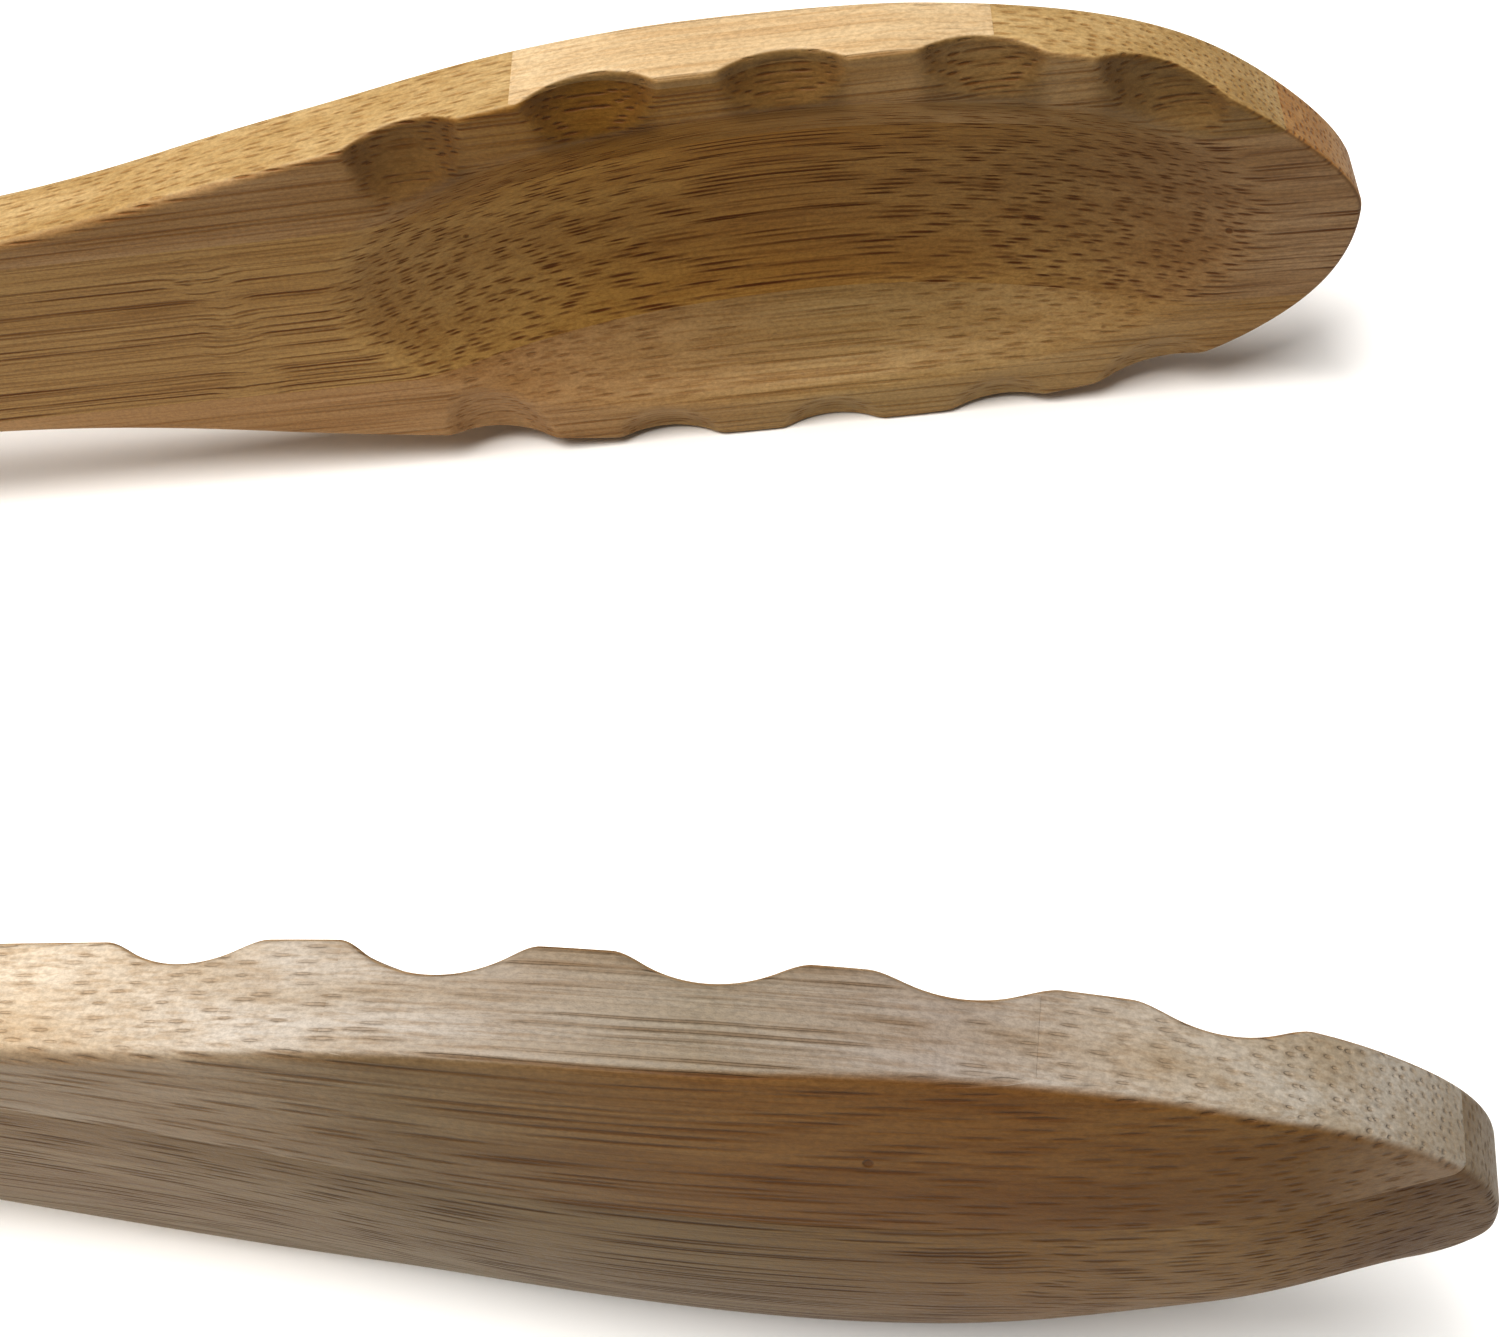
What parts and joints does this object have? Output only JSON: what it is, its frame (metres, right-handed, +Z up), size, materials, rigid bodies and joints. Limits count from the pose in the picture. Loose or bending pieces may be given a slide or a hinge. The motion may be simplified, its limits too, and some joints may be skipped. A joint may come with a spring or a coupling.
{
  "type": "bamboo tongs",
  "caption": "Spring tongs with two laminated bamboo arms that widen into scooped jaws with scalloped edges, joined at the butt by a riveted U-shaped steel spring strip.",
  "frame": {"origin": "under the middle of the tongs' bounding box, on the surface that the jaws rest on", "axes": "+X towards the jaw tips, +Y towards the far arm, +Z up: the tongs lie on their side, and the arms move apart and together along Y"},
  "size_m": [0.3048, 0.0856, 0.0357],
  "materials": {
    "bamboo_core": "sanded and lightly oiled",
    "bamboo_flare": "sanded and lightly oiled",
    "bamboo_edge": "sanded and lightly oiled",
    "spring_steel": "rolled, satin",
    "rivet_steel": "polished by setting",
    "washer_steel": "tumbled"
  },
  "bodies": {
    "near_arm": {"near_arm_upper_edge": "bamboo_edge", "near_arm_upper_flare": "bamboo_flare", "near_arm_core": "bamboo_core", "near_arm_lower_flare": "bamboo_flare", "near_arm_lower_edge": "bamboo_edge", "near_rivet_rear": "rivet_steel", "near_washer_rear": "washer_steel", "near_rivet_front": "rivet_steel", "near_washer_front": "washer_steel", "spring_band": "spring_steel"},
    "far_arm": {"far_arm_upper_edge": "bamboo_edge", "far_arm_upper_flare": "bamboo_flare", "far_arm_core": "bamboo_core", "far_arm_lower_flare": "bamboo_flare", "far_arm_lower_edge": "bamboo_edge", "far_rivet_rear": "rivet_steel", "far_washer_rear": "washer_steel", "far_rivet_front": "rivet_steel", "far_washer_front": "washer_steel"}
  },
  "joints": [
    {"name": "jaw_hinge", "type": "hinge", "parent": "near_arm", "child": "far_arm", "pos_m": [-0.1384, 0, 0.01785], "axis": [0, 0, 1], "range_deg": [-13.3, 4], "stiffness_Nm_per_rad": 3.5, "deforming": ["spring_band"]}
  ]
}
